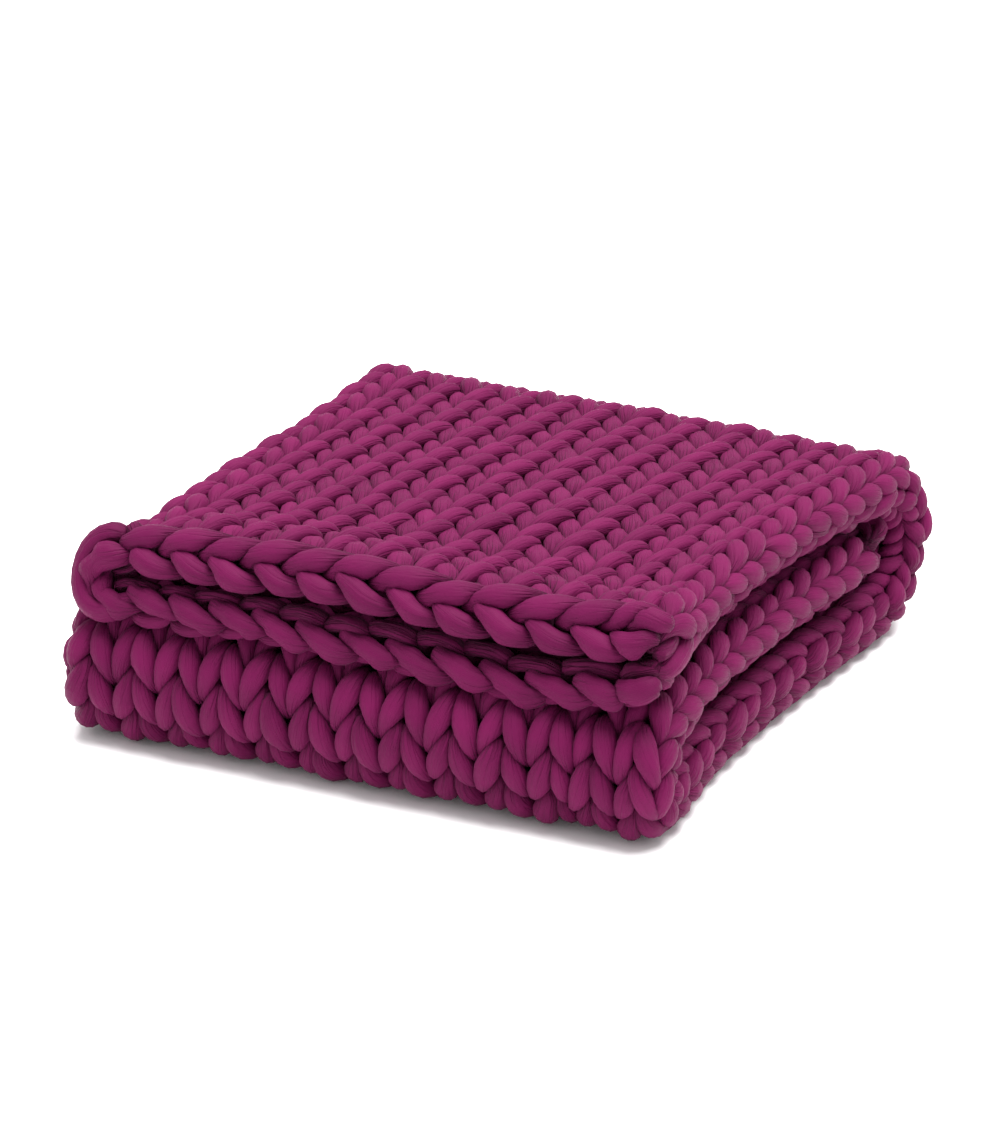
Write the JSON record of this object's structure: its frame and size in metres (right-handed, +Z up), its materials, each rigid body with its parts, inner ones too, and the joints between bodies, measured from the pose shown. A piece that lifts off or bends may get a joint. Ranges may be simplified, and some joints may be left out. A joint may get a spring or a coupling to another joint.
{
  "type": "folded weighted blanket",
  "caption": "Thick hand-knitted weighted blanket, folded in half and then in three, lying as a soft ribbed pile with its chain edge on top at the front.",
  "frame": {"origin": "centre of the pile's box, on the surface that it lies on", "axes": "+Z up from the surface, -Y towards the free edges and the front fold, -X towards the side fold, +X towards the selvedges"},
  "size_m": [0.5824, 0.603, 0.1934],
  "materials": {
    "berry_jersey": "matte filled jersey tube yarn with a soft sheen on its crowns"
  },
  "bodies": {
    "root": {"knit_blanket": "berry_jersey"}
  },
  "joints": []
}
